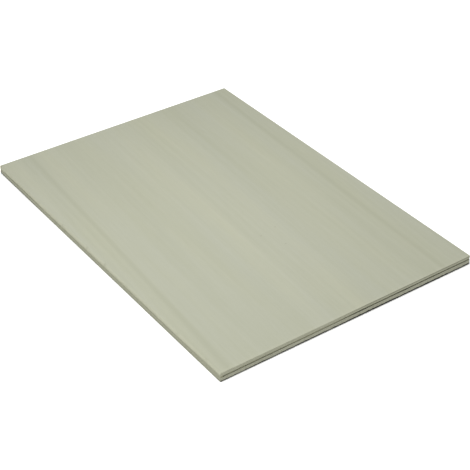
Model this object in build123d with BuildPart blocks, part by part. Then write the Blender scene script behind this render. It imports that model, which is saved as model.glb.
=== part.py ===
# Poplar plywood sheet: three cross-banded plies, lying flat on its back veneer.
# X runs along the sheet and its face grain, Y across it, and Z up through the plies.
# The front is the end at +X and the left side is the one at -Y.
# The origin is the middle of the underside. Lengths are in millimetres.

import os

from build123d import *

# The sheet as sawn
sheet_length = 297.0
sheet_width = 210.0
corner_radius = 0.5

# The plies. The grain of the thin core crosses the grain of the other two.
face_thickness = 2.6
core_thickness = 1.0
back_thickness = 3.4

# Sanding rounds the outer arrises of the face and the back
sanded_radius = 0.3

# The core stands back from the sawn edges, so the edge shows a groove between the two thick plies.
# It was laid a little out of square: at the front it stands back further on the right than on the left.
core_side_setback = 0.2
core_rear_setback = 0.6
core_front_left_setback = 0.6
core_front_right_setback = 1.0
core_corner_radius = 0.4

# Slivers of the core broke out along its front end and off its left side, next to the rear corner.
# Each one left a long shallow hollow, deepest nearer to the end where the split began.
front_hollow_centre_shares = (0.56, 0.73)
front_hollow_lengths = (44.0, 26.0)
front_hollow_depths = (0.9, 0.7)
side_hollow_length = 72.0
side_hollow_depth = 0.6
hollow_deepest_share = 0.3

# At the front the saw crossed the grain of the back and tore splinters off its lower arris.
# The torn strip leans in steeply from a little way up the end, and cuts in deeper in some stretches.
tear_height = 0.9
tear_place_shares = (0.0, 0.2, 0.45, 0.75, 1.0)
tear_depths = (0.35, 0.45, 0.6, 0.55, 0.4)

# How far every cut runs past the wood that it removes
cut_overrun = 2.0

# Levels and half sizes
core_level = back_thickness
face_level = core_level + core_thickness
half_length = sheet_length / 2
half_width = sheet_width / 2
core_half_width = half_width - core_side_setback

# Corners of the core
front_left = Vector(half_length - core_front_left_setback, -core_half_width)
front_right = Vector(half_length - core_front_right_setback, core_half_width)
rear_right = Vector(core_rear_setback - half_length, core_half_width)
rear_left = Vector(core_rear_setback - half_length, -core_half_width)

# Each hollow as its two ends on the edge of the core, its depth and the direction out of the core
hollows = []
for centre_share, length, depth in zip(front_hollow_centre_shares, front_hollow_lengths, front_hollow_depths):
    centre = front_left + (front_right - front_left) * centre_share
    along = (front_right - front_left).normalized() * (length / 2)
    hollows.append((centre - along, centre + along, depth, Vector(1, 0)))
side_start = rear_left + Vector(core_corner_radius, 0)
side_end = side_start + Vector(side_hollow_length, 0)
hollows.append((side_start, side_end, side_hollow_depth, Vector(0, -1)))

# The inner edge of the torn strip, from past the left corner to past the right one
torn_left = -half_width - cut_overrun
torn_right = half_width + cut_overrun
torn_points = []
for place_share, depth in zip(tear_place_shares, tear_depths):
    torn_points.append((half_length - depth, torn_left + (torn_right - torn_left) * place_share))
past_front = half_length + cut_overrun

os.makedirs("parts", exist_ok=True)

# Back veneer, with its lower arris rounded, and torn along the front
with BuildPart() as back_veneer:
    with BuildSketch():
        RectangleRounded(sheet_length, sheet_width, corner_radius)
    extrude(amount=back_thickness)
    fillet(back_veneer.faces().sort_by(Axis.Z)[0].edges(), radius=sanded_radius)
    with BuildSketch():
        with BuildLine():
            torn_edge = Spline(torn_points)
            Polyline(torn_edge @ 1, (past_front, torn_right), (past_front, torn_left), torn_edge @ 0)
        make_face()
    with BuildSketch(Plane.XY.offset(tear_height)):
        with BuildLine():
            end_edge = Line((half_length, torn_left), (half_length, torn_right))
            Polyline(end_edge @ 1, (past_front, torn_right), (past_front, torn_left), end_edge @ 0)
        make_face()
    loft(ruled=True, mode=Mode.SUBTRACT)
back_veneer.part.label = "back_veneer"
export_step(back_veneer.part, "parts/back_veneer.step")

# Core veneer, out of square, with the hollows cut into its edges
with BuildPart() as core_veneer:
    with BuildSketch(Plane.XY.offset(core_level)) as core_outline:
        with BuildLine():
            Polyline(front_left, front_right, rear_right, rear_left, close=True)
        make_face()
        fillet(core_outline.vertices(), radius=core_corner_radius)
        for start, end, depth, outward in hollows:
            deepest = start + (end - start) * hollow_deepest_share - outward * depth
            with BuildLine():
                Spline(start, deepest, end)
                Polyline(end, end + outward * cut_overrun, start + outward * cut_overrun, start)
            make_face(mode=Mode.SUBTRACT)
    extrude(amount=core_thickness)
core_veneer.part.label = "core_veneer"
export_step(core_veneer.part, "parts/core_veneer.step")

# Face veneer, with its upper arris rounded
with BuildPart() as face_veneer:
    with BuildSketch(Plane.XY.offset(face_level)):
        RectangleRounded(sheet_length, sheet_width, corner_radius)
    extrude(amount=face_thickness)
    fillet(face_veneer.faces().sort_by(Axis.Z)[-1].edges(), radius=sanded_radius)
face_veneer.part.label = "face_veneer"
export_step(face_veneer.part, "parts/face_veneer.step")
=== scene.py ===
"""The looks of a poplar plywood sheet: three plies, their grain and their sawn edges.

Each ply is a closed surface worked out with whole arrays: rings of stations carried round the sheet's
outline, closed above and below by a grid or by flat spokes. X runs along the sheet and its face grain,
Y across it and Z up. The front is the end at +X and the left side is the one at -Y. Lengths are in
millimetres, and MM turns them to metres. A pair of PLACES is where along X or Y a change begins and ends.
"""
import math

import bpy
import numpy as np
from mathutils import Matrix, Vector


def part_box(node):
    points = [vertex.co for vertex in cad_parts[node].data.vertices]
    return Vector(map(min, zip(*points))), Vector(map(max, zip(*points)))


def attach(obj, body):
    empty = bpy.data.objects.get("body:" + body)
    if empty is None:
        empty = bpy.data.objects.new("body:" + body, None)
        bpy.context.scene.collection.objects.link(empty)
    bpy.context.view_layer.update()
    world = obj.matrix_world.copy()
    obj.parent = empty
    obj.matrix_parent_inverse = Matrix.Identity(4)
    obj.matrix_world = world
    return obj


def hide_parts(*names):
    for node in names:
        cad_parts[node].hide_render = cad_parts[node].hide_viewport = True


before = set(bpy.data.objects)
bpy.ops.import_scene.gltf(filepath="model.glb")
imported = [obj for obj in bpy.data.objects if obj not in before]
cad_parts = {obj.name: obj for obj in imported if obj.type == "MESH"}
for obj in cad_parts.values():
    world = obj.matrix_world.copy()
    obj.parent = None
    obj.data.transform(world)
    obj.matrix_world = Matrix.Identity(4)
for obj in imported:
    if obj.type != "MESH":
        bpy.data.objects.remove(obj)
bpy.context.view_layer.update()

MM = 0.001

# The camera, as fitted to the straight outlines of the sheet in the photograph
PHOTO_SIDE = 470
FOCAL_PIXELS = 1289.9
SENSOR_WIDTH = 36.0
CAMERA_AZIMUTH = math.radians(55.076)
CAMERA_ELEVATION = math.radians(35.127)
CAMERA_ROLL = math.radians(-0.569)
CAMERA_DISTANCE = 924.2
CAMERA_AIM = Vector((24.93, -6.53, 0.0))
NEAR_CLIP = 10.0

# Two soft lamps and an even room. Each share is the light that it throws on the table straight below it,
# and together they come to about one, so a colour renders about as it is written.
MAIN_LAMP_PLACE = (112.0, -168.0, 525.0)
MAIN_LAMP_WIDTH = 80.0
MAIN_LAMP_SHARE = 0.454
FILL_LAMP_PLACE = (-72.0, 57.0, 320.0)
FILL_LAMP_WIDTH = 120.0
FILL_LAMP_SHARE = 0.169
ROOM_SHARE = 0.498
LAMPS = (
    ("main_lamp", MAIN_LAMP_PLACE, MAIN_LAMP_WIDTH, MAIN_LAMP_SHARE),
    ("fill_lamp", FILL_LAMP_PLACE, FILL_LAMP_WIDTH, FILL_LAMP_SHARE),
)
TABLE_HALF_WIDTH = 3000.0
TABLE_WHITE = "#F2F2F2"

# The photograph is overexposed: to the camera the lit table is this many times as bright as white
TABLE_GLARE = 1.4

# Sizes of the sheet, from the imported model
FACE_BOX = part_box("face_veneer")
BACK_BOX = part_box("back_veneer")
HALF_LENGTH = FACE_BOX[1].x / MM
HALF_WIDTH = FACE_BOX[1].y / MM
TOP_LEVEL = FACE_BOX[1].z / MM
UPPER_GLUE_LEVEL = FACE_BOX[0].z / MM
LOWER_GLUE_LEVEL = BACK_BOX[1].z / MM
CORNER_RADIUS = 0.5

# The mesh: cells of the top and the underside, and stations of the rings round the edge.
# Both are crowded a little towards the corners.
GRID_COLUMNS = 180
GRID_ROWS = 126
STATIONS_PER_CELL = 3
CROWDING_POWER = 41
CROWDING = 0.02125

# How far inside the outline the innermost ring and the border of the grid lie
INNER_RING_INSET = 3.0
GRID_INSET = 4.2

# Rings up each sawn edge, with those of the back crowded towards its foot by a power
FACE_EDGE_ROWS = 8
CORE_EDGE_ROWS = 7
BACK_EDGE_ROWS = 9
FOOT_CROWDING = 1.6
SHARP_ANGLE = math.radians(48)

# A seed for each noise. The relief of an edge takes two, its own and the next.
LONG_WANDER_SEED = 11
SHORT_WANDER_SEED = 12
FACE_RELIEF_SEED = 21
ARRIS_SEED = 23
BROAD_DIP_SEED = 25
FINE_DIP_SEED = 26
CORE_RELIEF_SEED = 31
SPLINTER_SEED = 41
TEAR_DEPTH_SEED = 42
TEAR_HEIGHT_SEED = 43
BACK_RELIEF_SEED = 45

# Over this length at a corner, what belongs to an end gives way to what belongs to a side
BLEND_LENGTH = 0.4

# The upper arrises as sanded: hardly touched at the ends and the right side, and worn round on the left one,
# a little less towards the front. The front one is worn too where it comes to the left corner.
END_ARRIS_RADIUS = 0.22
RIGHT_ARRIS_RADIUS = 0.22
LEFT_ARRIS_RADIUS = 1.4
LEFT_ARRIS_PLACES = (100.0, 140.0)
LEFT_ARRIS_LESS = 0.3
CORNER_WEAR = 0.9
CORNER_WEAR_LENGTH = 5.0
ARRIS_TURNS = np.radians((15, 30, 45, 60, 75, 90))
ARRIS_UNEVENNESS = 0.16
ARRIS_WAVE = 16.0

# The lower arrises, rounder towards the rear of the left side
UNDER_ARRIS_RADIUS = 0.45
REAR_UNDER_WEAR = 0.4
REAR_UNDER_PLACES = (-135.0, -85.0)
UNDER_TURNS = np.radians((90, 60, 40, 25, 14, 7, 0))

# Nicks knocked into the left arris: the place of each along the sheet, and its depth. Each is drawn darker by
# its depth, and the edge just below it a little less.
NICKS = ((-111.5, 0.12), (-86.3, 0.08), (-50.3, 0.16), (-15.8, 0.2), (8.9, 0.28), (37.8, 0.12), (63.1, 0.08),
         (100.3, 0.1), (133.2, 0.16))
NICK_HALF_LENGTH = 1.1
NICK_DARKNESS = 1.3
BELOW_NICK_DARKNESS = 0.65

# The saw left the edges wavy by hundredths of a millimetre, and fibres broke out a little deeper, but no
# deeper than the limit times the mean. Towards an arris the relief fades by a power of the share of height.
EDGE_RELIEF = 0.022
RELIEF_LIMIT = 3
FACE_RELIEF_FADE = 4
BACK_RELIEF_FADE = 0.5
SAW_WAVE = 22.0
FIBRE_BREAK = 0.9
ROWS_PER_SAW_WAVE = 3.0
ROWS_PER_BREAK = 0.8

# The top was sanded and dips by hundredths of a millimetre between its harder strips.
# The reaches count cells of the top, across the sheet and along it.
DEEPEST_DIP = 0.09
MEAN_DIP = 0.03
BROAD_DIP = 0.012
BROAD_DIP_REACH = (5, 18)
FINE_DIP = 0.006
FINE_DIP_REACH = (1.2, 9)
TOP_RIM_DIP = 0.01

# The veneers are of uneven thickness, so both glue lines wander in long waves and short ones. In the front
# end they also follow a table of heights, with a rise where two strips of the core meet. Along the left side
# they lie a little high, and the core is thinner, with its lower line higher, towards the rear.
LONG_WANDER = 0.07
LONG_WANDER_WAVE = 33.0
SHORT_WANDER = 0.02
SHORT_WANDER_WAVE = 4.4
FRONT_LINE_PLACES = (-105.0, -76.0, -31.0, -8.0, 10.0, 52.0, 87.0, 105.0)
FRONT_LINE_HEIGHTS = (-0.2, -0.06, 0.08, 0.15, 0.46, 0.38, 0.28, 0.28)
SIDE_RISE_PLACES = (-140.0, -60.0)
SIDE_RISE = 0.07
SIDE_START = 0.05
SIDE_FADE = 40.0
CORE_THINNING = 0.3
CORE_THINNING_PLACES = (-125.0, -75.0)

# The core's edge stands back from the sawn edges, at the front by a table of setbacks. It hardly stands back
# at the corner of front and left, and the left side takes a long way to come to its full setback. Next to
# that corner a pit begins the groove: centre, length and depth.
CORE_SIDE_SETBACK = 0.2
CORE_REAR_SETBACK = 0.6
CORE_FRONT_PLACES = (-105.0, -60.0, -46.0, -6.0, 2.0, 105.0)
CORE_FRONT_SETBACKS = (0.6, 0.66, 0.28, 0.28, 0.8, 1.0)
CORNER_KEPT_SETBACK = 0.03
CORNER_KEPT_PLACES = (-103.4, -102.6)
SIDE_KEPT_LENGTH = 90.0
CORNER_PIT = (-101.4, 3.2, 0.6)

# Fibres of the core are broken unevenly, more at the ends than at the sides
CORE_RAGGEDNESS = 0.05
SIDE_RAGGEDNESS_SHARE = 0.5
END_RAGGEDNESS_SHARE = 1.5

# Hollows where slivers of the core broke out: centre, length and depth, and the share of its length at which
# each is deepest
FRONT_HOLLOWS = ((12.6, 44.0, 0.9), (48.3, 26.0, 0.7))
SIDE_HOLLOW = (-111.5, 72.0, 0.6)
HOLLOW_DEEPEST_SHARE = 0.3

# Painted shade in the groove: round two places in the front end, and in the hollow of the left side. The top
# of the back veneer is the groove's bed, and its lip takes only a share of it.
FRONT_GROOVE_SHADES = (8.5, 45.5)
FRONT_GROOVE_SHADE_HALF_LENGTH = 6.0
HOLLOW_SHADE = 0.2
LIP_SHADE_SHARE = 0.4

# The strip torn off the lower arris of the front end: how far it cuts in at shares of the sheet's width, and
# how high it reaches. Waves and splinters make it uneven, within limits.
TEAR_SHARES = (0.0, 0.2, 0.45, 0.75, 1.0)
TEAR_DEPTHS = (0.35, 0.45, 0.6, 0.55, 0.4)
TEAR_DEPTH_LIMITS = (0.2, 1.0)
TEAR_HEIGHT = 1.05
TEAR_HEIGHT_LIMITS = (0.5, 1.4)
TEAR_WAVE = 6.0
TEAR_WAVE_SHARE = 0.15
TEAR_HEIGHT_WAVE_SHARE = 0.07
SPLINTER_WIDTH = 0.7
SPLINTER_DEPTH_SHARE = 0.16
SPLINTER_HEIGHT_SHARE = 0.1

# From left to right the torn strip grows taller, by this share either way, and its wall steeper
TEAR_CHANGE_PLACES = (-30.0, 10.0)
TEAR_HEIGHT_CHANGE = 0.12
TEAR_STEEPNESS = (20.0, 60.0)

# Painted shade at the foot of the edges, next to the table. The torn strip is painted near black all over. On
# the other edges the painted shade fades upwards from the table, and it is deeper towards the rear and
# reaches higher towards the front.
FRONT_FOOT_SHADE = 1.0
OTHER_FOOT_SHADE = 0.26
REAR_FOOT_SHADE = 1.0
REAR_FOOT_SHADE_PLACES = (-115.0, -60.0)
OTHER_FOOT_SHADE_HEIGHT = 1.8
FRONT_FOOT_SHADE_RISE = 0.8
FRONT_FOOT_SHADE_PLACES = (50.0, 90.0)

# Layers of the wood's figure: size along the grain, across it and into the wood. Real fibres are a few
# hundredths of a millimetre wide and pores about a tenth, too fine to show, so both are drawn coarser.
BROAD_BANDS = (500.0, 25.0, 6.0)
STREAKS = (120.0, 3.2, 1.4)
FIBRES = (14.0, 0.55, 0.5)
PORES = (2.2, 0.16, 0.16)
TINT_PATCHES = (160.0, 22.0, 8.0)
LAYER_DETAIL = 2.0
FIGURE_SPREAD = (0.3, 0.7)

# Marks of the saw's proudest tooth on the edges: past a blade of 3750 turns a minute, a sheet fed at 6 metres
# a minute moves 1.6 mm a turn. They lean over, and soft noise shifts them in patches.
TOOTH_SPACING = 1.6
TOOTH_LEAN = 0.6
TOOTH_SHADES = (0.11, 0.29)
TOOTH_WANDER = 12.0
TOOTH_WANDER_PATCHES = (9.0, 9.0, 3.0)

# Flecks a millimetre or two long, where short fibres broke out of the edges, and how much of the wood's own
# figure shows between them
FLECKS = (2.4, 2.4, 0.7)
FLECK_THRESHOLDS = (0.6, 0.72)
EDGE_FIGURE_WEIGHT = 0.5

# Two faint mineral streaks in the face, each from its start to its end, and three pin marks
FACE_STREAKS = (((-148.5, -79.8), (148.5, -97.7)), ((-148.5, 94.5), (148.5, 80.9)))
FACE_STREAK_HALF_WIDTH = 3.5
STREAK_COLOUR = "#A9AB94"
STREAK_STRENGTH = 0.3
PIN_MARKS = ((44.6, 2.1), (41.6, 16.8), (62.4, 10.5))
PIN_MARK_RADIUS = 0.9
PIN_COLOUR = "#8F8A70"
PIN_STRENGTH = 0.4

# Where a Mix node of colours takes its parts and gives its result
MIX_SHARE, MIX_FIRST, MIX_SECOND, MIX_RESULT = 0, 6, 7, 2

# Poplar, peeled from the log with a long knife, then sanded on the outside. It is pale and even, with a
# grey-green cast, faint streaks along the grain and no growth rings. Sawn edges are a little darker than
# the faces, and darker still across the grain.
# In each wood, turn lays the grain, shift moves its pattern and weights are those of the layers of figure.
# The scorch grows from none at the first of its levels to its full share at the second.
# The darkest colour of each wood is painted shade, at the foot of the edges and in the groove, except in the
# face, where it is the colour of the nicks.
FACE_WOOD = {
    "turn": math.radians(3.0),
    "shift": (0.0, 0.0, 0.0),
    "weights": (0.42, 0.26, 0.2, 0.12),
    "warm": "#C2C3AD",
    "cool": "#BFC1B1",
    "dark": "#B4B6A0",
    "side_pale": "#CDCEB8",
    "side_dark": "#ABAC93",
    "end_pale": "#C9CAB4",
    "end_dark": "#A9AA92",
    "torn": "#4A4834",
    "scorch": 0.36,
    "scorch_levels": (6.0, 6.4),
    "roughness": (0.6, 0.85),
}
BACK_WOOD = {
    "turn": math.radians(-1.5),
    "shift": (0.31, 0.17, 0.05),
    "weights": (0.38, 0.28, 0.22, 0.12),
    "warm": "#C2C2AC",
    "cool": "#BFC1B0",
    "dark": "#B1B39D",
    "side_pale": "#C8C9B4",
    "side_dark": "#A3A48C",
    "end_pale": "#CDCEBA",
    "end_dark": "#A3A48E",
    # Near black: the painted shade of the torn strip, of the foot of the edges and of the groove
    "torn": "#0E0E0B",
    "scorch": 0.0,
    "scorch_levels": (0.0, 1.0),
    "roughness": (0.65, 0.85),
}
# The core is coarser poplar, peeled for the inside and laid with its grain across the sheet. Its long grain
# shows as a dark olive line in the ends, partly its own colour and partly painted shade of the groove it
# stands back in, and its end grain as a paler one in the sides.
CORE_WOOD = {
    "turn": math.radians(-89.0),
    "shift": (0.07, 0.43, 0.11),
    "weights": (0.2, 0.35, 0.3, 0.15),
    "warm": "#B0AF94",
    "cool": "#ABAB94",
    "dark": "#94937A",
    "side_pale": "#BFC0A9",
    "side_dark": "#A3A48B",
    "end_pale": "#ADAD92",
    "end_dark": "#84846A",
    # Dark: the painted shade in the groove
    "torn": "#2E2C20",
    "scorch": 0.85,
    "scorch_levels": (0.0, 1.0),
    "roughness": (0.85, 0.85),
}

# A painted highlight on the long sides, where their upper part catches the light: it starts above the first
# of these levels, and is full from the second. Both lie higher towards the front, slowly all along and then
# by a rise. The top has a painted highlight along its front.
HIGHLIGHT_COLOUR = "#D2D3BB"
HIGHLIGHT_LEVELS = (3.3, 4.6)
HIGHLIGHT_SLOPE = 0.002
HIGHLIGHT_RISE_PLACES = (95.0, 135.0)
HIGHLIGHT_RISE = 1.2
FRONT_HIGHLIGHT_PLACES = (145.6, 147.6)
FRONT_HIGHLIGHT_STRENGTH = 0.12

# The long sides are stained next to the rear end, and the right part of either end is scorched by the saw
REAR_STAIN_COLOUR = "#77735A"
REAR_STAIN_PLACES = (-147.7, -146.0)
REAR_STAIN_STRENGTH = 0.75
SCORCH_COLOUR = "#4A4834"
SCORCH_PLACES = (-20.0, 15.0)

# Bare wood has fine open grain and shines little
GRAIN_RELIEF = 0.04
GRAIN_RELIEF_STRENGTH = 0.5
WOOD_IOR = 1.5
WOOD_GLOSS = 0.2


def linear(hex_colour):
    """An sRGB hex colour as linear red, green, blue and an alpha of one."""
    parts = [int(hex_colour[i:i + 2], 16) / 255 for i in (1, 3, 5)]
    return [p / 12.92 if p <= 0.04045 else ((p + 0.055) / 1.055) ** 2.4 for p in parts] + [1.0]


def add_node(tree, kind, inputs=(), **settings):
    """Adds a node. settings are its own properties, and inputs maps a socket to a value or another socket."""
    made = tree.nodes.new(kind)
    for name, value in settings.items():
        setattr(made, name, value)
    for socket, value in dict(inputs).items():
        if isinstance(value, bpy.types.NodeSocket):
            tree.links.new(value, made.inputs[socket])
        else:
            made.inputs[socket].default_value = value
    return made


def smooth_noise(shape, reach, seed):
    """White noise blurred by a bell curve as many samples wide as reach says on each axis. It is blurred in
    frequency space, so it wraps round, and is then scaled to a spread of one."""
    spectrum = np.fft.fftn(np.random.default_rng(seed).standard_normal(shape))
    for axis, width in enumerate(reach):
        bell = np.exp(-2 * (math.pi * np.fft.fftfreq(shape[axis]) * width) ** 2)
        spectrum = spectrum * bell.reshape([-1 if a == axis else 1 for a in range(len(shape))])
    blurred = np.fft.ifftn(spectrum).real
    return blurred / blurred.std()


def smooth_step(low, high, values):
    """Rises from nought at low to one at high, level at both ends: t squared times (3 - 2 t)."""
    t = np.clip((values - low) / (high - low), 0, 1)
    return t * t * (3 - 2 * t)


def blend(first, second, share):
    """first where share is nought and second where it is one: first + (second - first) share."""
    return first + (second - first) * share


def crowded(count):
    """Numbers from -1 to 1, nearly even, but closer at both ends: t (1 + b) - b t |t| to the power n - 1."""
    t = np.linspace(-1, 1, count + 1)
    return t * (1 + CROWDING) - CROWDING * t * np.abs(t) ** (CROWDING_POWER - 1)


# Stations round the sheet, anticlockwise seen from above, from the rear left corner along the left side
ALONG = crowded(GRID_COLUMNS * STATIONS_PER_CELL) * HALF_LENGTH
ACROSS = crowded(GRID_ROWS * STATIONS_PER_CELL) * HALF_WIDTH
STATION_X = np.concatenate([
    ALONG[:-1], np.full(len(ACROSS) - 1, HALF_LENGTH), ALONG[:0:-1], np.full(len(ACROSS) - 1, -HALF_LENGTH)])
STATION_Y = np.concatenate([
    np.full(len(ALONG) - 1, -HALF_WIDTH), ACROSS[:-1], np.full(len(ALONG) - 1, HALF_WIDTH), ACROSS[:0:-1]])
STATIONS = len(STATION_X)
STATION_STEP = 2 * HALF_LENGTH / (GRID_COLUMNS * STATIONS_PER_CELL)

# A spine along the middle of the sheet, as far from each end as from the sides, and the point of it that each
# station's spoke goes to
SPINE_FIRST = len(ACROSS) // 2
SPINE_X = ALONG[SPINE_FIRST:-SPINE_FIRST]
STATION_COLUMN = np.concatenate([
    np.arange(len(ALONG) - 1), np.full(len(ACROSS) - 1, len(ALONG) - 1),
    np.arange(len(ALONG) - 1, 0, -1), np.zeros(len(ACROSS) - 1, int)])
SPOKES = np.clip(STATION_COLUMN - SPINE_FIRST, 0, len(SPINE_X) - 1)

# How much of each station belongs to the front, to the rear, to either end and to the left side
TO_FRONT = HALF_LENGTH - STATION_X
TO_REAR = HALF_LENGTH + STATION_X
TO_SIDE = HALF_WIDTH - np.abs(STATION_Y)
ON_FRONT = smooth_step(-BLEND_LENGTH, BLEND_LENGTH, TO_SIDE - TO_FRONT)
ON_REAR = smooth_step(-BLEND_LENGTH, BLEND_LENGTH, TO_SIDE - TO_REAR)
ON_END = ON_FRONT + ON_REAR
ON_LEFT = (1 - ON_END) * (STATION_Y < 0)


def edge_noise(wave, seed):
    """Smooth noise along the whole edge, with waves of about the length given."""
    return smooth_noise((STATIONS,), (wave / STATION_STEP,), seed)


def ring(inset, level):
    """One ring of points. Each station starts on the outline, a rectangle whose corners are rounded, and
    moves straight towards its place on a smaller rectangle inside, as far as its inset says."""
    middle_x = np.clip(STATION_X, CORNER_RADIUS - HALF_LENGTH, HALF_LENGTH - CORNER_RADIUS)
    middle_y = np.clip(STATION_Y, CORNER_RADIUS - HALF_WIDTH, HALF_WIDTH - CORNER_RADIUS)
    reach = np.hypot(STATION_X - middle_x, STATION_Y - middle_y)
    outer_x = middle_x + CORNER_RADIUS * (STATION_X - middle_x) / reach
    outer_y = middle_y + CORNER_RADIUS * (STATION_Y - middle_y) / reach
    inner_x = STATION_X * (1 - INNER_RING_INSET / HALF_LENGTH)
    inner_y = STATION_Y * (1 - INNER_RING_INSET / HALF_WIDTH)
    share = inset / INNER_RING_INSET
    return np.stack([
        blend(outer_x, inner_x, share),
        blend(outer_y, inner_y, share),
        np.broadcast_to(level, STATION_X.shape),
    ], axis=1)


def grid(level):
    """The points of a grid inside the rings, whose lines meet every third station. level is a number or holds
    one value for each point."""
    x, y = np.meshgrid(
        ALONG[::STATIONS_PER_CELL] * (1 - GRID_INSET / HALF_LENGTH),
        ACROSS[::STATIONS_PER_CELL] * (1 - GRID_INSET / HALF_WIDTH))
    return np.stack([x, y, np.broadcast_to(level, x.shape)], axis=2).reshape(-1, 3)


def grid_faces(first, upward):
    """The cells of a grid as faces of four corners, and the grid's border in the order of the stations."""
    number = first + np.arange((GRID_ROWS + 1) * (GRID_COLUMNS + 1)).reshape(GRID_ROWS + 1, GRID_COLUMNS + 1)
    corners = (number[:-1, :-1], number[:-1, 1:], number[1:, 1:], number[1:, :-1])
    cells = np.stack(corners, axis=2).reshape(-1, 4)
    border = np.concatenate([number[0, :-1], number[:-1, -1], number[-1, :0:-1], number[:0:-1, 0]])
    return turned(cells.tolist(), upward), border


def turned(faces, upward):
    """Lists of corners that run anticlockwise seen from above, turned over where they are to face down."""
    return faces if upward else [face[::-1] for face in faces]


def seam_faces(ring_first, border, upward):
    """The faces between the innermost ring and the border of a grid. Three steps of the ring go with one of
    the border, as a triangle, a quad and another triangle."""
    first, second, third = ring_first + np.arange(STATIONS).reshape(-1, STATIONS_PER_CELL).T
    following = np.roll(first, -1)
    there = np.roll(border, -1)
    faces = np.stack([first, second, border], axis=1).tolist()
    faces += np.stack([second, third, there, border], axis=1).tolist()
    faces += np.stack([third, following, there], axis=1).tolist()
    return turned(faces, upward)


def spoke_faces(ring_first, spine_first, upward):
    """The faces that close a ring flat. Each station has a spoke to the nearest point of a spine along the
    middle of the sheet, and the spokes past either end of the spine all meet in its last point."""
    station = np.arange(STATIONS)
    following = np.roll(station, -1)
    spoke = spine_first + SPOKES
    faces = np.stack([ring_first + station, ring_first + following, spoke[following], spoke], axis=1)
    apart = SPOKES != SPOKES[following]
    return turned(faces[apart].tolist() + faces[~apart, :3].tolist(), upward)


def make_ply(name, rings, sawn, torn, lower_grid, upper_grid):
    """Puts a ply together from its rings, from the lower inner one round the edge to the upper inner one.
    A side with no grid is closed flat, by spokes. sawn says for each ring how much of it is sawn edge, and
    the last argument gives for each ring and station how dark it is, with painted shade or at a nick."""
    points = [np.concatenate(rings)]
    station = np.arange(STATIONS)
    following = np.roll(station, -1)
    faces = []
    for below in range(len(rings) - 1):
        low = below * STATIONS
        high = low + STATIONS
        faces += np.stack([low + station, low + following, high + following, high + station], axis=1).tolist()
    ring_points = len(rings) * STATIONS
    count = ring_points
    for inner, ring_first, upward in ((lower_grid, 0, False), (upper_grid, count - STATIONS, True)):
        if inner is None:
            level = points[0][ring_first, 2]
            inner = np.stack([SPINE_X, np.zeros(len(SPINE_X)), np.full(len(SPINE_X), level)], axis=1)
            faces += spoke_faces(ring_first, count, upward)
        else:
            cells, border = grid_faces(count, upward)
            faces += cells + seam_faces(ring_first, border, upward)
        points.append(inner)
        count += len(inner)
    mesh = bpy.data.meshes.new(name)
    mesh.from_pydata((np.concatenate(points) * MM).tolist(), [], faces)
    edge_values = {
        "sawn": np.repeat(sawn, STATIONS),
        "end": np.tile(ON_END, len(rings)),
        "torn": np.concatenate(torn),
    }
    for label, values in edge_values.items():
        everywhere = np.zeros(count, dtype=np.float32)
        everywhere[:ring_points] = values
        mesh.attributes.new(label, "FLOAT", "POINT").data.foreach_set("value", everywhere)
    mesh.shade_smooth()
    mesh.set_sharp_from_angle(angle=SHARP_ANGLE)
    ply = bpy.data.objects.new(name, mesh)
    bpy.context.scene.collection.objects.link(ply)
    return ply


def glue_line_wander():
    """How far both glue lines lie above or below their level at each station: long and short waves, straight
    runs between the heights of the table in the front end, and along the left side a start and a rise that
    fades out towards the front."""
    long_waves = LONG_WANDER * edge_noise(LONG_WANDER_WAVE, LONG_WANDER_SEED)
    short_waves = SHORT_WANDER * edge_noise(SHORT_WANDER_WAVE, SHORT_WANDER_SEED)
    front = np.interp(STATION_Y, FRONT_LINE_PLACES, FRONT_LINE_HEIGHTS)
    rise = SIDE_RISE * smooth_step(*SIDE_RISE_PLACES, STATION_X)
    side = SIDE_START + rise * smooth_step(0, SIDE_FADE, TO_FRONT)
    return long_waves + short_waves + ON_FRONT * front + ON_LEFT * side


# Both glue lines' heights at each station
WANDER = glue_line_wander()
UPPER_GLUE_LINE = UPPER_GLUE_LEVEL + WANDER
LOWER_GLUE_LINE = LOWER_GLUE_LEVEL + WANDER + CORE_THINNING * ON_LEFT * (
    1 - smooth_step(*CORE_THINNING_PLACES, STATION_X))


def hollow(places, centre, length, depth):
    """The depth of a hollow at some places: its full depth times a smooth step from one end to the deepest
    share of its length, times what a second one from there to the other end leaves over."""
    along = (places - centre) / length + 0.5
    fall = smooth_step(0, HOLLOW_DEEPEST_SHARE, along)
    rise = 1 - smooth_step(HOLLOW_DEEPEST_SHARE, 1, along)
    return depth * fall * rise


def groove_shade():
    """How much painted shade the groove takes at each station: in the front end the sum of two bells, each e
    to the power -(d / half length) squared at a distance d, and in the left side a share that goes as the
    hollow's depth does."""
    bells = sum(np.exp(-((STATION_Y - place) / FRONT_GROOVE_SHADE_HALF_LENGTH) ** 2) for place in FRONT_GROOVE_SHADES)
    return ON_FRONT * bells + ON_LEFT * HOLLOW_SHADE * hollow(STATION_X, *SIDE_HOLLOW) / SIDE_HOLLOW[2]


GROOVE_SHADE = groove_shade()


def edge_relief(seed, depth, rows):
    """How far the sawn edge lies inside the outline, with one row for each ring: the depth times one plus the
    mean of two noises, the saw's broad waves and the fibres' short breaks, and never less than nought."""
    broad = smooth_noise((rows, STATIONS), (ROWS_PER_SAW_WAVE, SAW_WAVE / STATION_STEP), seed)
    fine = smooth_noise((rows, STATIONS), (ROWS_PER_BREAK, FIBRE_BREAK / STATION_STEP), seed + 1)
    return np.clip(depth * (1 + (broad + fine) / 2), 0, RELIEF_LIMIT * depth)


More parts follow.
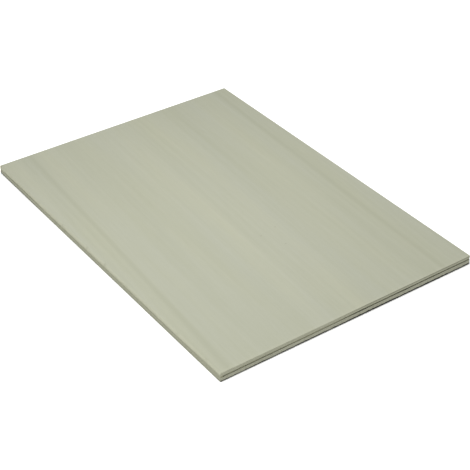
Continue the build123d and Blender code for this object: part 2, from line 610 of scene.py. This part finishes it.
def make_face_veneer():
    """The face veneer: its sawn edge, a round arris of uneven radius r, and a top that dips a few hundredths.
    After a turn a the arris lies r (1 - cos a) in and r (1 - sin a) down. A nick cuts in and down by its
    depth times e to the power -(d / half length) squared and times the sine of twice the turn."""
    relief = edge_relief(FACE_RELIEF_SEED, EDGE_RELIEF, FACE_EDGE_ROWS)
    left = LEFT_ARRIS_RADIUS - LEFT_ARRIS_LESS * smooth_step(*LEFT_ARRIS_PLACES, STATION_X)
    radius = END_ARRIS_RADIUS * ON_END + left * ON_LEFT + RIGHT_ARRIS_RADIUS * (1 - ON_END - ON_LEFT)
    radius = radius * (1 + ARRIS_UNEVENNESS * edge_noise(ARRIS_WAVE, ARRIS_SEED))
    from_corner = smooth_step(0, CORNER_WEAR_LENGTH, STATION_Y + HALF_WIDTH)
    radius = radius + CORNER_WEAR * ON_FRONT * (1 - from_corner)
    nick = sum(depth * np.exp(-((STATION_X - x) / NICK_HALF_LENGTH) ** 2) for x, depth in NICKS) * ON_LEFT
    rings = [ring(INNER_RING_INSET, UPPER_GLUE_LEVEL)]
    sawn = [1]
    torn = [np.zeros(STATIONS)]
    foot = UPPER_GLUE_LINE
    head = TOP_LEVEL - radius
    for row, share in enumerate(np.linspace(0, 1, FACE_EDGE_ROWS)):
        rings.append(ring(relief[row] * (1 - share ** FACE_RELIEF_FADE), blend(foot, head, share)))
        sawn.append(1)
        torn.append(nick * share * BELOW_NICK_DARKNESS)
    for turn in ARRIS_TURNS:
        nicked = nick * math.sin(2 * turn)
        level = TOP_LEVEL - radius * (1 - math.sin(turn)) - nicked
        rings.append(ring(radius * (1 - math.cos(turn)) + nicked, level))
        sawn.append(math.cos(turn) ** 2)
        torn.append(nicked * NICK_DARKNESS)
    rings.append(ring(INNER_RING_INSET, TOP_LEVEL - TOP_RIM_DIP))
    sawn.append(0)
    torn.append(np.zeros(STATIONS))
    shape = (GRID_ROWS + 1, GRID_COLUMNS + 1)
    dips = MEAN_DIP + BROAD_DIP * smooth_noise(shape, BROAD_DIP_REACH, BROAD_DIP_SEED)
    dips = dips + FINE_DIP * smooth_noise(shape, FINE_DIP_REACH, FINE_DIP_SEED)
    top = grid(TOP_LEVEL - np.clip(dips, 0, DEEPEST_DIP))
    return make_ply("face_veneer_sheet", rings, sawn, torn, None, top)


def make_core_veneer():
    """The core veneer. Its edge lies as far in as the setback, the hollows of its broken slivers and its
    ragged fibres come to together. The glue lines slope evenly from the outline to the innermost ring, and
    its edge stands between them, wherever it is."""
    front = np.interp(STATION_Y, CORE_FRONT_PLACES, CORE_FRONT_SETBACKS)
    for centre, length, depth in FRONT_HOLLOWS + (CORNER_PIT,):
        front = front + hollow(STATION_Y, centre, length, depth)
    front = blend(CORNER_KEPT_SETBACK, front, smooth_step(*CORNER_KEPT_PLACES, STATION_Y))
    side = blend(CORNER_KEPT_SETBACK, CORE_SIDE_SETBACK, smooth_step(0, SIDE_KEPT_LENGTH, TO_FRONT))
    setback = side * (1 - ON_END) + CORE_REAR_SETBACK * ON_REAR + front * ON_FRONT
    setback = setback + ON_LEFT * hollow(STATION_X, *SIDE_HOLLOW)
    raggedness_share = blend(SIDE_RAGGEDNESS_SHARE, END_RAGGEDNESS_SHARE, ON_END)
    ragged = edge_relief(CORE_RELIEF_SEED, CORE_RAGGEDNESS, CORE_EDGE_ROWS) * raggedness_share
    rings = [ring(INNER_RING_INSET, LOWER_GLUE_LEVEL)]
    for row, share in enumerate(np.linspace(0, 1, CORE_EDGE_ROWS)):
        inset = setback + ragged[row]
        inward = inset / INNER_RING_INSET
        below = blend(LOWER_GLUE_LINE, LOWER_GLUE_LEVEL, inward)
        above = blend(UPPER_GLUE_LINE, UPPER_GLUE_LEVEL, inward)
        rings.append(ring(inset, blend(below, above, share)))
    rings.append(ring(INNER_RING_INSET, UPPER_GLUE_LEVEL))
    # The core's edge takes the painted shade of the groove
    return make_ply("core_veneer_sheet", rings, np.ones(len(rings)), [GROOVE_SHADE] * len(rings), None, None)


def make_back_veneer():
    """The back veneer, with its lower arris torn off along the front end, and round on the other edges.
    Across the torn strip the level falls from its full height as (1 - s) to the power of its steepness,
    where s is the share of its depth: the wall stands nearly upright, and its foot runs in close to the
    table. The round arris, of radius r, lies r (1 - cos a) in and r (1 - sin a) up after a turn a."""
    places = HALF_WIDTH * (2 * np.array(TEAR_SHARES) - 1)
    splinters = edge_noise(SPLINTER_WIDTH, SPLINTER_SEED)
    depth_waves = TEAR_WAVE_SHARE * edge_noise(TEAR_WAVE, TEAR_DEPTH_SEED)
    height_waves = TEAR_HEIGHT_WAVE_SHARE * edge_noise(TEAR_WAVE, TEAR_HEIGHT_SEED)
    depth = np.interp(STATION_Y, places, TEAR_DEPTHS) * (1 + SPLINTER_DEPTH_SHARE * splinters + depth_waves)
    depth = np.clip(depth, *TEAR_DEPTH_LIMITS)
    to_right = smooth_step(*TEAR_CHANGE_PLACES, STATION_Y)
    height = 1 + SPLINTER_HEIGHT_SHARE * splinters + height_waves
    height = height * (1 + TEAR_HEIGHT_CHANGE * (2 * to_right - 1))
    height = TEAR_HEIGHT * np.clip(height, *TEAR_HEIGHT_LIMITS)
    steepness = blend(*TEAR_STEEPNESS, to_right)
    # Painted shade at the foot: near black in the torn strip, and on the other edges fading upwards from the
    # table
    front_shade = ON_FRONT * FRONT_FOOT_SHADE
    from_rear = smooth_step(*REAR_FOOT_SHADE_PLACES, STATION_X)
    other_shade = (1 - ON_FRONT) * blend(REAR_FOOT_SHADE, OTHER_FOOT_SHADE, from_rear)
    foot_shade_height = OTHER_FOOT_SHADE_HEIGHT + FRONT_FOOT_SHADE_RISE * smooth_step(*FRONT_FOOT_SHADE_PLACES, STATION_X)
    under = UNDER_ARRIS_RADIUS + REAR_UNDER_WEAR * ON_LEFT * (1 - smooth_step(*REAR_UNDER_PLACES, STATION_X))
    rings = [ring(INNER_RING_INSET, 0.0)]
    sawn = [0]
    torn = [np.zeros(STATIONS)]
    for turn in UNDER_TURNS:
        share = 1 - math.cos(turn)
        inset = share * (under * (1 - ON_FRONT) + depth * ON_FRONT)
        round_level = under * (1 - math.sin(turn))
        torn_level = height * (1 - share) ** steepness
        rings.append(ring(inset, round_level * (1 - ON_FRONT) + torn_level * ON_FRONT))
        sawn.append(math.cos(turn) ** 2)
        torn.append(front_shade + other_shade)
    relief = edge_relief(BACK_RELIEF_SEED, EDGE_RELIEF, BACK_EDGE_ROWS)
    foot = under * (1 - ON_FRONT) + height * ON_FRONT
    head = LOWER_GLUE_LINE
    for row, share in enumerate(np.linspace(0, 1, BACK_EDGE_ROWS)[1:] ** FOOT_CROWDING, 1):
        level = blend(foot, head, share)
        rings.append(ring(relief[row] * share ** BACK_RELIEF_FADE, level))
        sawn.append(1)
        torn.append(other_shade * (1 - smooth_step(0, foot_shade_height, level)))
    # The groove's bed, the top of the back veneer, takes painted shade, and its lip a share of it
    torn[-1] = torn[-1] + LIP_SHADE_SHARE * GROOVE_SHADE
    rings.append(ring(INNER_RING_INSET, LOWER_GLUE_LEVEL))
    sawn.append(1)
    torn.append(GROOVE_SHADE)
    return make_ply("back_veneer_sheet", rings, sawn, torn, grid(0.0), None)


def figure(tree, place, sizes):
    """One layer of the wood's figure: soft noise from 0 to 1, drawn out to its sizes."""
    scale = [1 / (size * MM) for size in sizes]
    drawn = add_node(tree, "ShaderNodeMapping", {"Vector": place, "Scale": scale})
    noise = add_node(tree, "ShaderNodeTexNoise", {
        "Vector": drawn.outputs[0], "Scale": 1.0, "Detail": LAYER_DETAIL})
    return noise.outputs[0]


def face_marks(tree, place, colour):
    """The mineral streaks and pin marks of the face and a painted highlight along its front, laid over a
    colour. A streak fades with the distance from its line, and a pin mark with the distance from its point."""
    for start, end in FACE_STREAKS:
        line = Vector(end) - Vector(start)
        across = Vector((-line.y, line.x, 0)).normalized()
        offset = across.xy.dot(Vector(start)) * MM
        along = add_node(tree, "ShaderNodeVectorMath", {0: place, 1: across}, operation="DOT_PRODUCT")
        away = add_node(tree, "ShaderNodeMath", {0: along.outputs["Value"], 1: offset}, operation="SUBTRACT")
        distance = add_node(tree, "ShaderNodeMath", {0: away.outputs[0]}, operation="ABSOLUTE")
        share = add_node(tree, "ShaderNodeMapRange", {
            "Value": distance.outputs[0], "From Min": 0.0, "From Max": FACE_STREAK_HALF_WIDTH * MM,
            "To Min": STREAK_STRENGTH, "To Max": 0.0}, interpolation_type="SMOOTHSTEP")
        colour = add_node(tree, "ShaderNodeMix", {
            MIX_SHARE: share.outputs[0], MIX_FIRST: colour, MIX_SECOND: linear(STREAK_COLOUR)},
            data_type="RGBA").outputs[MIX_RESULT]
    for x, y in PIN_MARKS:
        point = Vector((x, y, TOP_LEVEL)) * MM
        distance = add_node(tree, "ShaderNodeVectorMath", {0: place, 1: point}, operation="DISTANCE")
        share = add_node(tree, "ShaderNodeMapRange", {
            "Value": distance.outputs["Value"], "From Min": 0.0, "From Max": PIN_MARK_RADIUS * MM,
            "To Min": PIN_STRENGTH, "To Max": 0.0}, interpolation_type="SMOOTHSTEP")
        colour = add_node(tree, "ShaderNodeMix", {
            MIX_SHARE: share.outputs[0], MIX_FIRST: colour, MIX_SECOND: linear(PIN_COLOUR)},
            data_type="RGBA").outputs[MIX_RESULT]
    # The painted highlight along the front of the top
    x = add_node(tree, "ShaderNodeSeparateXYZ", {0: place}).outputs["X"]
    share = add_node(tree, "ShaderNodeMapRange", {
        "Value": x, "From Min": FRONT_HIGHLIGHT_PLACES[0] * MM, "From Max": FRONT_HIGHLIGHT_PLACES[1] * MM,
        "To Max": FRONT_HIGHLIGHT_STRENGTH}, interpolation_type="SMOOTHSTEP")
    return add_node(tree, "ShaderNodeMix", {
        MIX_SHARE: share.outputs[0], MIX_FIRST: colour, MIX_SECOND: linear(HIGHLIGHT_COLOUR)},
        data_type="RGBA").outputs[MIX_RESULT]


def tooth_marks(tree, place):
    """Slanting marks of the saw's teeth, from the paler shade to the darker: the sine of x + y + lean z, by
    one turn for each spacing, with its phase shifted by soft noise. On each edge only x or y changes."""
    turns = 2 * math.pi / (TOOTH_SPACING * MM)
    slant = (turns, turns, turns * TOOTH_LEAN)
    phase = add_node(tree, "ShaderNodeVectorMath", {0: place, 1: slant}, operation="DOT_PRODUCT")
    wander = figure(tree, place, TOOTH_WANDER_PATCHES)
    shifted = add_node(tree, "ShaderNodeMath", {
        0: wander, 1: TOOTH_WANDER, 2: phase.outputs["Value"]}, operation="MULTIPLY_ADD")
    wave = add_node(tree, "ShaderNodeMath", {0: shifted.outputs[0]}, operation="SINE")
    marks = add_node(tree, "ShaderNodeMapRange", {
        "Value": wave.outputs[0], "From Min": -1.0, "To Min": TOOTH_SHADES[0], "To Max": TOOTH_SHADES[1]})
    return marks.outputs[0]


def peeled_poplar(name, wood, marks):
    """One ply's wood. Its broad sides take their colour from four layers of figure, and its sawn edges from
    the same layers, tooth marks and flecks, with a painted highlight high on the long sides and painted shade
    in the groove and at the foot. The attributes say where each of them lies: sawn edge, end grain, and
    painted shade or nicks."""
    material = bpy.data.materials.new(name)
    material.use_nodes = True
    tree = material.node_tree
    tree.nodes.clear()
    place = add_node(tree, "ShaderNodeTexCoord").outputs["Object"]
    grain = add_node(tree, "ShaderNodeMapping", {
        "Vector": place, "Location": wood["shift"], "Rotation": (0, 0, wood["turn"])}).outputs[0]

    # The broad sides, between a warm tone, a cool one and a dark one
    layers = [figure(tree, grain, sizes) for sizes in (BROAD_BANDS, STREAKS, FIBRES, PORES)]
    shade = 0.0
    for layer, weight in zip(layers, wood["weights"]):
        added = add_node(tree, "ShaderNodeMath", {0: layer, 1: weight, 2: shade}, operation="MULTIPLY_ADD")
        shade = added.outputs[0]
    darkness = add_node(tree, "ShaderNodeMapRange", {
        "Value": shade, "From Min": FIGURE_SPREAD[0], "From Max": FIGURE_SPREAD[1]}).outputs[0]
    tint = add_node(tree, "ShaderNodeMapRange", {
        "Value": figure(tree, grain, TINT_PATCHES), "From Min": FIGURE_SPREAD[0],
        "From Max": FIGURE_SPREAD[1]})
    pale = add_node(tree, "ShaderNodeMix", {
        MIX_SHARE: tint.outputs[0], MIX_FIRST: linear(wood["warm"]), MIX_SECOND: linear(wood["cool"])},
        data_type="RGBA")
    flat_colour = add_node(tree, "ShaderNodeMix", {
        MIX_SHARE: darkness, MIX_FIRST: pale.outputs[MIX_RESULT], MIX_SECOND: linear(wood["dark"])},
        data_type="RGBA").outputs[MIX_RESULT]
    if marks:
        flat_colour = face_marks(tree, place, flat_colour)

    # The sawn edges, with the end grain and the side grain each between a pale and a dark tone
    sawn, end, torn = (
        add_node(tree, "ShaderNodeAttribute", attribute_name=label).outputs["Fac"]
        for label in ("sawn", "end", "torn"))
    teeth = tooth_marks(tree, place)
    flecks = add_node(tree, "ShaderNodeMapRange", {
        "Value": figure(tree, place, FLECKS), "From Min": FLECK_THRESHOLDS[0],
        "From Max": FLECK_THRESHOLDS[1]}, interpolation_type="SMOOTHSTEP").outputs[0]
    roughened = add_node(tree, "ShaderNodeMath", {0: teeth, 1: flecks}, operation="ADD")
    edge_shade = add_node(tree, "ShaderNodeMath", {
        0: darkness, 1: EDGE_FIGURE_WEIGHT, 2: roughened.outputs[0]},
        operation="MULTIPLY_ADD", use_clamp=True).outputs[0]
    edge_pale, edge_dark = (
        add_node(tree, "ShaderNodeMix", {
            MIX_SHARE: end, MIX_FIRST: linear(wood["side_" + tone]), MIX_SECOND: linear(wood["end_" + tone])},
            data_type="RGBA").outputs[MIX_RESULT]
        for tone in ("pale", "dark"))
    edge_colour = add_node(tree, "ShaderNodeMix", {
        MIX_SHARE: edge_shade, MIX_FIRST: edge_pale, MIX_SECOND: edge_dark}, data_type="RGBA")

    # The painted highlight under the arris of the long sides, and their stain at the rear
    parts = add_node(tree, "ShaderNodeSeparateXYZ", {0: place})
    level = add_node(tree, "ShaderNodeVectorMath", {0: place, 1: (-HIGHLIGHT_SLOPE, 0, 1)}, operation="DOT_PRODUCT")
    rise = add_node(tree, "ShaderNodeMapRange", {
        "Value": parts.outputs["X"], "From Min": HIGHLIGHT_RISE_PLACES[0] * MM, "From Max": HIGHLIGHT_RISE_PLACES[1] * MM,
        "To Max": HIGHLIGHT_RISE * MM}, interpolation_type="SMOOTHSTEP")
    risen = add_node(tree, "ShaderNodeMath", {
        0: level.outputs["Value"], 1: rise.outputs[0]}, operation="SUBTRACT")
    highlight_height = add_node(tree, "ShaderNodeMapRange", {
        "Value": risen.outputs[0], "From Min": HIGHLIGHT_LEVELS[0] * MM, "From Max": HIGHLIGHT_LEVELS[1] * MM},
        interpolation_type="SMOOTHSTEP")
    side = add_node(tree, "ShaderNodeMath", {0: 1.0, 1: end}, operation="SUBTRACT")
    highlight = add_node(tree, "ShaderNodeMath", {
        0: highlight_height.outputs[0], 1: side.outputs[0]}, operation="MULTIPLY")
    highlighted = add_node(tree, "ShaderNodeMix", {
        MIX_SHARE: highlight.outputs[0], MIX_FIRST: edge_colour.outputs[MIX_RESULT],
        MIX_SECOND: linear(HIGHLIGHT_COLOUR)}, data_type="RGBA")
    stain = add_node(tree, "ShaderNodeMapRange", {
        "Value": parts.outputs["X"], "From Min": REAR_STAIN_PLACES[0] * MM,
        "From Max": REAR_STAIN_PLACES[1] * MM, "To Min": REAR_STAIN_STRENGTH, "To Max": 0.0},
        interpolation_type="SMOOTHSTEP")
    side_stain = add_node(tree, "ShaderNodeMath", {
        0: stain.outputs[0], 1: side.outputs[0]}, operation="MULTIPLY")
    stained = add_node(tree, "ShaderNodeMix", {
        MIX_SHARE: side_stain.outputs[0], MIX_FIRST: highlighted.outputs[MIX_RESULT],
        MIX_SECOND: linear(REAR_STAIN_COLOUR)}, data_type="RGBA")

    # The scorch on the right of either end
    to_right = add_node(tree, "ShaderNodeMapRange", {
        "Value": parts.outputs["Y"], "From Min": SCORCH_PLACES[0] * MM, "From Max": SCORCH_PLACES[1] * MM},
        interpolation_type="SMOOTHSTEP")
    scorch_height = add_node(tree, "ShaderNodeMapRange", {
        "Value": parts.outputs["Z"], "From Min": wood["scorch_levels"][0] * MM,
        "From Max": wood["scorch_levels"][1] * MM, "To Max": wood["scorch"]}, interpolation_type="SMOOTHSTEP")
    scorch_right = add_node(tree, "ShaderNodeMath", {
        0: scorch_height.outputs[0], 1: to_right.outputs[0]}, operation="MULTIPLY")
    scorch = add_node(tree, "ShaderNodeMath", {0: scorch_right.outputs[0], 1: end}, operation="MULTIPLY")
    scorched = add_node(tree, "ShaderNodeMix", {
        MIX_SHARE: scorch.outputs[0], MIX_FIRST: stained.outputs[MIX_RESULT],
        MIX_SECOND: linear(SCORCH_COLOUR)}, data_type="RGBA")

    # The painted shade and the nicks, and then the edges and the broad sides together
    edge_with_shade_and_nicks = add_node(tree, "ShaderNodeMix", {
        MIX_SHARE: torn, MIX_FIRST: scorched.outputs[MIX_RESULT], MIX_SECOND: linear(wood["torn"])},
        data_type="RGBA")
    colour = add_node(tree, "ShaderNodeMix", {
        MIX_SHARE: sawn, MIX_FIRST: flat_colour, MIX_SECOND: edge_with_shade_and_nicks.outputs[MIX_RESULT]},
        data_type="RGBA")

    # The surface is rougher where it is sawn, and its fibres and pores stand in relief
    roughness = add_node(tree, "ShaderNodeMapRange", {
        "Value": sawn, "To Min": wood["roughness"][0], "To Max": wood["roughness"][1]})
    fibre_height = add_node(tree, "ShaderNodeMath", {0: layers[2], 1: layers[3]}, operation="ADD")
    height = add_node(tree, "ShaderNodeMath", {
        0: sawn, 1: edge_shade, 2: fibre_height.outputs[0]}, operation="MULTIPLY_ADD")
    bump = add_node(tree, "ShaderNodeBump", {
        "Height": height.outputs[0], "Distance": GRAIN_RELIEF * MM, "Strength": GRAIN_RELIEF_STRENGTH},
        invert=True)
    shader = add_node(tree, "ShaderNodeBsdfPrincipled", {
        "Base Color": colour.outputs[MIX_RESULT], "Roughness": roughness.outputs[0], "IOR": WOOD_IOR,
        "Specular IOR Level": WOOD_GLOSS, "Normal": bump.outputs[0]})
    add_node(tree, "ShaderNodeOutputMaterial", {"Surface": shader.outputs[0]})
    return material


def make_camera():
    """The photograph's camera: it looks at its aim from the fitted direction and distance."""
    data = bpy.data.cameras.new("camera")
    data.sensor_width = SENSOR_WIDTH
    data.lens = FOCAL_PIXELS / PHOTO_SIDE * SENSOR_WIDTH
    data.clip_start = NEAR_CLIP * MM
    camera = bpy.data.objects.new("camera", data)
    bpy.context.scene.collection.objects.link(camera)
    back = Vector((
        math.sin(CAMERA_AZIMUTH) * math.cos(CAMERA_ELEVATION),
        -math.cos(CAMERA_AZIMUTH) * math.cos(CAMERA_ELEVATION),
        math.sin(CAMERA_ELEVATION),
    ))
    turn = (-back).to_track_quat("-Z", "Y").to_matrix().to_4x4() @ Matrix.Rotation(CAMERA_ROLL, 4, "Z")
    camera.matrix_world = Matrix.Translation((CAMERA_AIM + back * CAMERA_DISTANCE) * MM) @ turn
    bpy.context.scene.camera = camera


def direct_rays(tree):
    """One for the camera's rays and for rays seen in a gloss or through glass, and nought for all others."""
    path = add_node(tree, "ShaderNodeLightPath")
    seen = add_node(tree, "ShaderNodeMath", {
        0: path.outputs["Is Camera Ray"], 1: path.outputs["Is Glossy Ray"]}, operation="ADD", use_clamp=True)
    direct = add_node(tree, "ShaderNodeMath", {
        0: seen.outputs[0], 1: path.outputs["Is Transmission Ray"]}, operation="ADD", use_clamp=True)
    return direct.outputs[0]


def make_table():
    """A table of board painted matt white, which is even and has no gloss. To the camera its colour makes up
    for the lamps' falloff, so it stays white from edge to edge and still takes the sheet's shadow. A lamp's
    light falls as (h h / (h h + r r)) squared, where h is its height and r the distance from the point below
    it."""
    material = bpy.data.materials.new("painted_board_matt_white")
    material.use_nodes = True
    tree = material.node_tree
    tree.nodes.clear()
    place = add_node(tree, "ShaderNodeTexCoord").outputs["Object"]
    light = ROOM_SHARE
    for _, lamp_place, _, lamp_share in LAMPS:
        x, y, height = (value * MM for value in lamp_place)
        away = add_node(tree, "ShaderNodeVectorMath", {0: place, 1: (x, y, 0)}, operation="SUBTRACT")
        square = add_node(tree, "ShaderNodeVectorMath", {
            0: away.outputs[0], 1: away.outputs[0]}, operation="DOT_PRODUCT")
        whole = add_node(tree, "ShaderNodeMath", {
            0: square.outputs["Value"], 1: height ** 2}, operation="ADD")
        share = add_node(tree, "ShaderNodeMath", {0: height ** 2, 1: whole.outputs[0]}, operation="DIVIDE")
        falloff = add_node(tree, "ShaderNodeMath", {0: share.outputs[0], 1: 2.0}, operation="POWER")
        light = add_node(tree, "ShaderNodeMath", {
            0: falloff.outputs[0], 1: lamp_share, 2: light}, operation="MULTIPLY_ADD").outputs[0]
    white = add_node(tree, "ShaderNodeMath", {0: TABLE_GLARE, 1: light}, operation="DIVIDE").outputs[0]
    bright = add_node(tree, "ShaderNodeCombineColor", {0: white, 1: white, 2: white})
    plain_matt = add_node(tree, "ShaderNodeBsdfDiffuse", {"Color": linear(TABLE_WHITE)})
    bright_matt = add_node(tree, "ShaderNodeBsdfDiffuse", {"Color": bright.outputs[0]})
    mixed = add_node(tree, "ShaderNodeMixShader", {
        0: direct_rays(tree), 1: plain_matt.outputs[0], 2: bright_matt.outputs[0]})
    add_node(tree, "ShaderNodeOutputMaterial", {"Surface": mixed.outputs[0]})
    half = TABLE_HALF_WIDTH * MM
    corners = [(-half, -half, 0), (half, -half, 0), (half, half, 0), (-half, half, 0)]
    mesh = bpy.data.meshes.new("table")
    mesh.from_pydata(corners, [], [(0, 1, 2, 3)])
    mesh.materials.append(material)
    table = bpy.data.objects.new("table", mesh)
    bpy.context.scene.collection.objects.link(table)


def make_lights():
    """Two soft lamps that face down, and an even pale room. A lamp of power P at height h lights the table
    below it by P / (pi pi h h), so its power is its share times pi pi h h."""
    for name, lamp_place, width, share in LAMPS:
        lamp = bpy.data.lights.new(name, "AREA")
        lamp.shape = "DISK"
        lamp.size = width * MM
        lamp.energy = share * (math.pi * lamp_place[2] * MM) ** 2
        hung = bpy.data.objects.new(name, lamp)
        bpy.context.scene.collection.objects.link(hung)
        hung.matrix_world = Matrix.Translation(Vector(lamp_place) * MM)
    world = bpy.data.worlds.new("room")
    bpy.context.scene.world = world
    world.use_nodes = True
    tree = world.node_tree
    tree.nodes.clear()
    room = add_node(tree, "ShaderNodeBackground", {"Color": (1, 1, 1, 1), "Strength": ROOM_SHARE})
    white = add_node(tree, "ShaderNodeBackground", {"Color": (1, 1, 1, 1), "Strength": 1.0})
    mixed = add_node(tree, "ShaderNodeMixShader", {
        0: direct_rays(tree), 1: room.outputs[0], 2: white.outputs[0]})
    add_node(tree, "ShaderNodeOutputWorld", {"Surface": mixed.outputs[0]})


bpy.context.scene.view_settings.view_transform = "Standard"
make_camera()
make_table()
make_lights()

# Each ply: its node and slot, what makes its mesh, the name of its wood, the wood and whether it has marks
PLIES = (
    ("face_veneer", "face_poplar", make_face_veneer, "peeled_poplar_sanded_face", FACE_WOOD, True),
    ("core_veneer", "core_poplar", make_core_veneer, "peeled_poplar_sawn_core", CORE_WOOD, False),
    ("back_veneer", "back_poplar", make_back_veneer, "peeled_poplar_sanded_back", BACK_WOOD, False),
)
for node, slot, make_veneer, wood_name, wood, marks in PLIES:
    ply = make_veneer()
    ply.data.materials.append(peeled_poplar(wood_name, wood, marks))
    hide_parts(node)
    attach(ply, "root")
